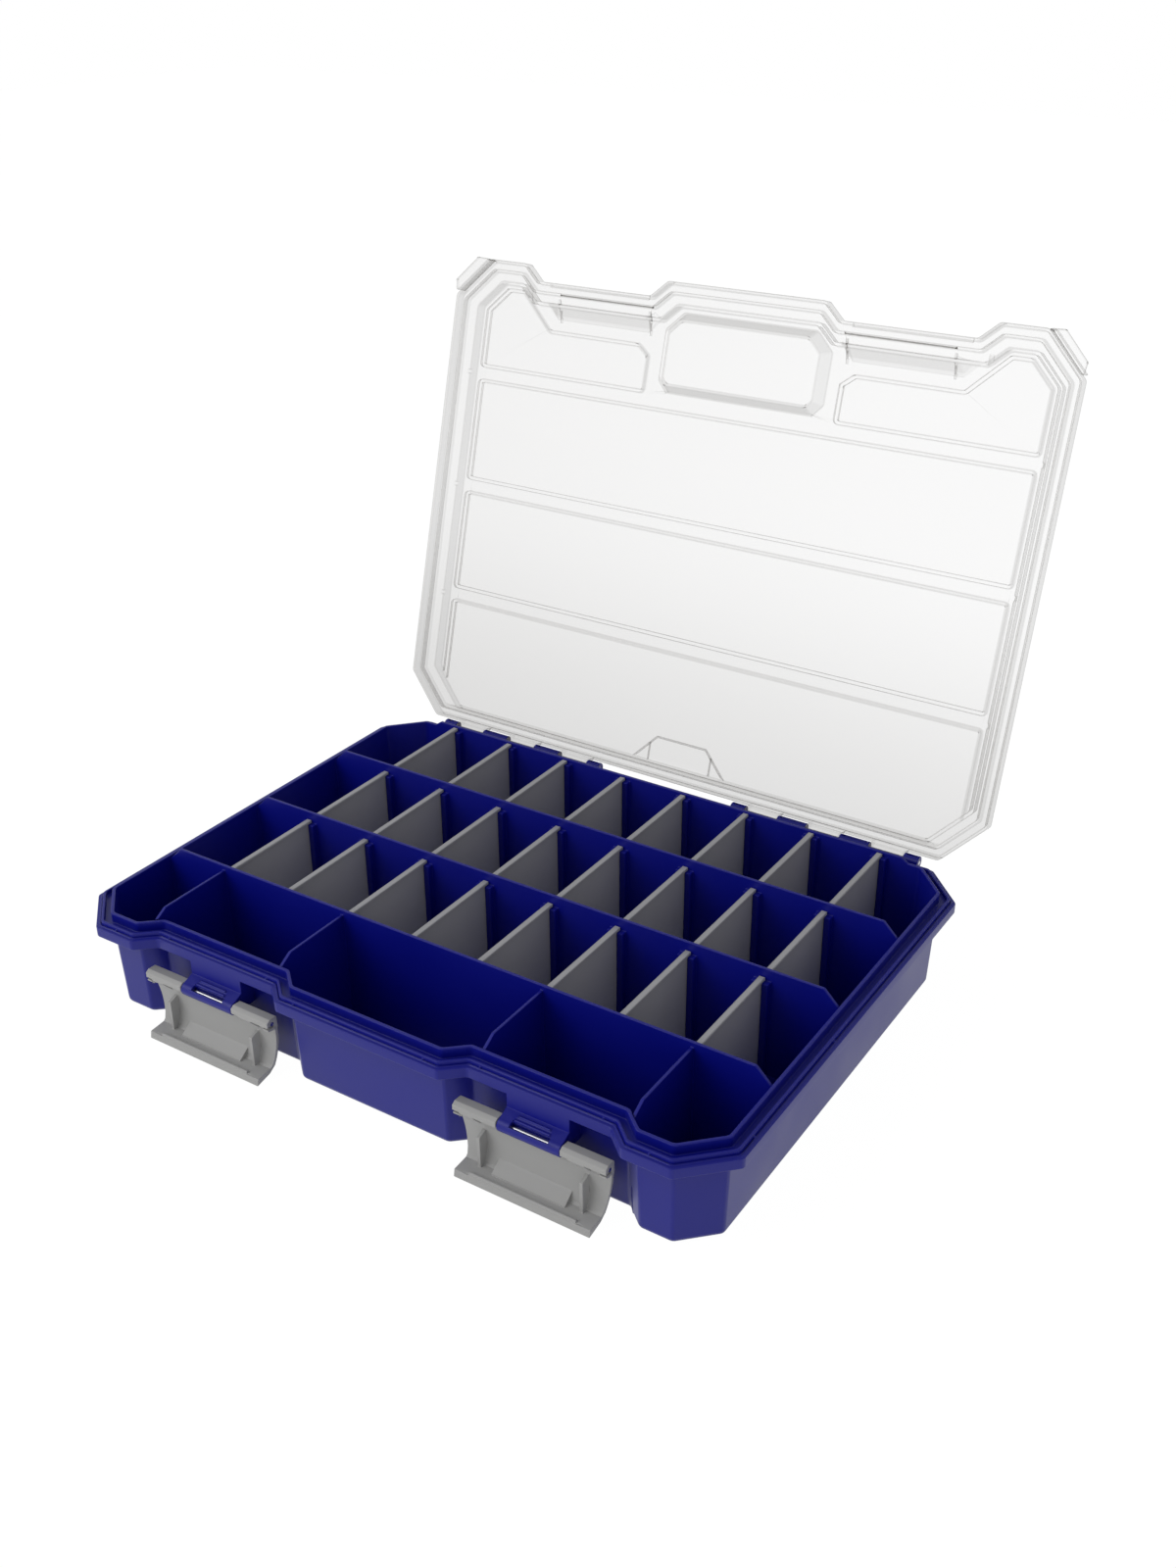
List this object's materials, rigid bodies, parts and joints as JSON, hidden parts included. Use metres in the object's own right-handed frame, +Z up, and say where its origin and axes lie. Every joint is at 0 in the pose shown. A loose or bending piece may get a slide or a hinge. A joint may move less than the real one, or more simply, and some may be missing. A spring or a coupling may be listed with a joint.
{
  "type": "small parts organiser case",
  "caption": "Shallow plastic organiser case with a clear hinged lid, two front latches and a tray of small cells with lift-out dividers and larger front compartments.",
  "frame": {"origin": "centre of the tray's flat underside, on the surface that the case stands on", "axes": "+X to the right across the case, +Y from the latches to the hinge, +Z up"},
  "size_m": [0.436, 0.4275, 0.3679],
  "materials": {
    "tray_plastic": "moulded, semi-gloss",
    "lid_plastic": "clear, slightly milky, gloss",
    "latch_plastic": "moulded, satin",
    "divider_plastic": "moulded, satin",
    "steel_pin": "bright drawn wire"
  },
  "bodies": {
    "tray": {"tray": "tray_plastic", "hinge_pin_left": "steel_pin", "hinge_pin_right": "steel_pin", "latch_pin_left": "steel_pin", "latch_pin_right": "steel_pin"},
    "lid": {"lid": "lid_plastic"},
    "latch_left": {"latch_left": "latch_plastic"},
    "latch_right": {"latch_right": "latch_plastic"},
    "divider_rear_1": {"divider_rear_1": "divider_plastic"},
    "divider_rear_2": {"divider_rear_2": "divider_plastic"},
    "divider_rear_3": {"divider_rear_3": "divider_plastic"},
    "divider_rear_4": {"divider_rear_4": "divider_plastic"},
    "divider_rear_5": {"divider_rear_5": "divider_plastic"},
    "divider_rear_6": {"divider_rear_6": "divider_plastic"},
    "divider_rear_7": {"divider_rear_7": "divider_plastic"},
    "divider_rear_8": {"divider_rear_8": "divider_plastic"},
    "divider_middle_1": {"divider_middle_1": "divider_plastic"},
    "divider_middle_2": {"divider_middle_2": "divider_plastic"},
    "divider_middle_3": {"divider_middle_3": "divider_plastic"},
    "divider_middle_4": {"divider_middle_4": "divider_plastic"},
    "divider_middle_5": {"divider_middle_5": "divider_plastic"},
    "divider_middle_6": {"divider_middle_6": "divider_plastic"},
    "divider_middle_7": {"divider_middle_7": "divider_plastic"},
    "divider_middle_8": {"divider_middle_8": "divider_plastic"},
    "divider_front_1": {"divider_front_1": "divider_plastic"},
    "divider_front_2": {"divider_front_2": "divider_plastic"},
    "divider_front_3": {"divider_front_3": "divider_plastic"},
    "divider_front_4": {"divider_front_4": "divider_plastic"},
    "divider_front_5": {"divider_front_5": "divider_plastic"},
    "divider_front_6": {"divider_front_6": "divider_plastic"},
    "divider_front_7": {"divider_front_7": "divider_plastic"},
    "divider_front_8": {"divider_front_8": "divider_plastic"}
  },
  "joints": [
    {"name": "lid_hinge", "type": "hinge", "parent": "tray", "child": "lid", "pos_m": [0, 0.16255, 0.0585], "axis": [-1, 0, 0], "range_deg": [-105.7, 0]},
    {"name": "latch_left_hinge", "type": "hinge", "parent": "tray", "child": "latch_left", "pos_m": [-0.1094, -0.15365, 0.0377], "axis": [1, 0, 0], "range_deg": [-180, 0]},
    {"name": "latch_right_hinge", "type": "hinge", "parent": "tray", "child": "latch_right", "pos_m": [0.1094, -0.15365, 0.0377], "axis": [1, 0, 0], "range_deg": [-180, 0]},
    {"name": "divider_rear_1_lift", "type": "slide", "parent": "tray", "child": "divider_rear_1", "axis": [0, 0, 1], "range_m": [0, 0.0725]},
    {"name": "divider_rear_2_lift", "type": "slide", "parent": "tray", "child": "divider_rear_2", "axis": [0, 0, 1], "range_m": [0, 0.0725]},
    {"name": "divider_rear_3_lift", "type": "slide", "parent": "tray", "child": "divider_rear_3", "axis": [0, 0, 1], "range_m": [0, 0.0725]},
    {"name": "divider_rear_4_lift", "type": "slide", "parent": "tray", "child": "divider_rear_4", "axis": [0, 0, 1], "range_m": [0, 0.0725]},
    {"name": "divider_rear_5_lift", "type": "slide", "parent": "tray", "child": "divider_rear_5", "axis": [0, 0, 1], "range_m": [0, 0.0725]},
    {"name": "divider_rear_6_lift", "type": "slide", "parent": "tray", "child": "divider_rear_6", "axis": [0, 0, 1], "range_m": [0, 0.0725]},
    {"name": "divider_rear_7_lift", "type": "slide", "parent": "tray", "child": "divider_rear_7", "axis": [0, 0, 1], "range_m": [0, 0.0725]},
    {"name": "divider_rear_8_lift", "type": "slide", "parent": "tray", "child": "divider_rear_8", "axis": [0, 0, 1], "range_m": [0, 0.0725]},
    {"name": "divider_middle_1_lift", "type": "slide", "parent": "tray", "child": "divider_middle_1", "axis": [0, 0, 1], "range_m": [0, 0.0725]},
    {"name": "divider_middle_2_lift", "type": "slide", "parent": "tray", "child": "divider_middle_2", "axis": [0, 0, 1], "range_m": [0, 0.0725]},
    {"name": "divider_middle_3_lift", "type": "slide", "parent": "tray", "child": "divider_middle_3", "axis": [0, 0, 1], "range_m": [0, 0.0725]},
    {"name": "divider_middle_4_lift", "type": "slide", "parent": "tray", "child": "divider_middle_4", "axis": [0, 0, 1], "range_m": [0, 0.0725]},
    {"name": "divider_middle_5_lift", "type": "slide", "parent": "tray", "child": "divider_middle_5", "axis": [0, 0, 1], "range_m": [0, 0.0725]},
    {"name": "divider_middle_6_lift", "type": "slide", "parent": "tray", "child": "divider_middle_6", "axis": [0, 0, 1], "range_m": [0, 0.0725]},
    {"name": "divider_middle_7_lift", "type": "slide", "parent": "tray", "child": "divider_middle_7", "axis": [0, 0, 1], "range_m": [0, 0.0725]},
    {"name": "divider_middle_8_lift", "type": "slide", "parent": "tray", "child": "divider_middle_8", "axis": [0, 0, 1], "range_m": [0, 0.0725]},
    {"name": "divider_front_1_lift", "type": "slide", "parent": "tray", "child": "divider_front_1", "axis": [0, 0, 1], "range_m": [0, 0.0725]},
    {"name": "divider_front_2_lift", "type": "slide", "parent": "tray", "child": "divider_front_2", "axis": [0, 0, 1], "range_m": [0, 0.0725]},
    {"name": "divider_front_3_lift", "type": "slide", "parent": "tray", "child": "divider_front_3", "axis": [0, 0, 1], "range_m": [0, 0.0725]},
    {"name": "divider_front_4_lift", "type": "slide", "parent": "tray", "child": "divider_front_4", "axis": [0, 0, 1], "range_m": [0, 0.0725]},
    {"name": "divider_front_5_lift", "type": "slide", "parent": "tray", "child": "divider_front_5", "axis": [0, 0, 1], "range_m": [0, 0.0725]},
    {"name": "divider_front_6_lift", "type": "slide", "parent": "tray", "child": "divider_front_6", "axis": [0, 0, 1], "range_m": [0, 0.0725]},
    {"name": "divider_front_7_lift", "type": "slide", "parent": "tray", "child": "divider_front_7", "axis": [0, 0, 1], "range_m": [0, 0.0725]},
    {"name": "divider_front_8_lift", "type": "slide", "parent": "tray", "child": "divider_front_8", "axis": [0, 0, 1], "range_m": [0, 0.0725]}
  ]
}
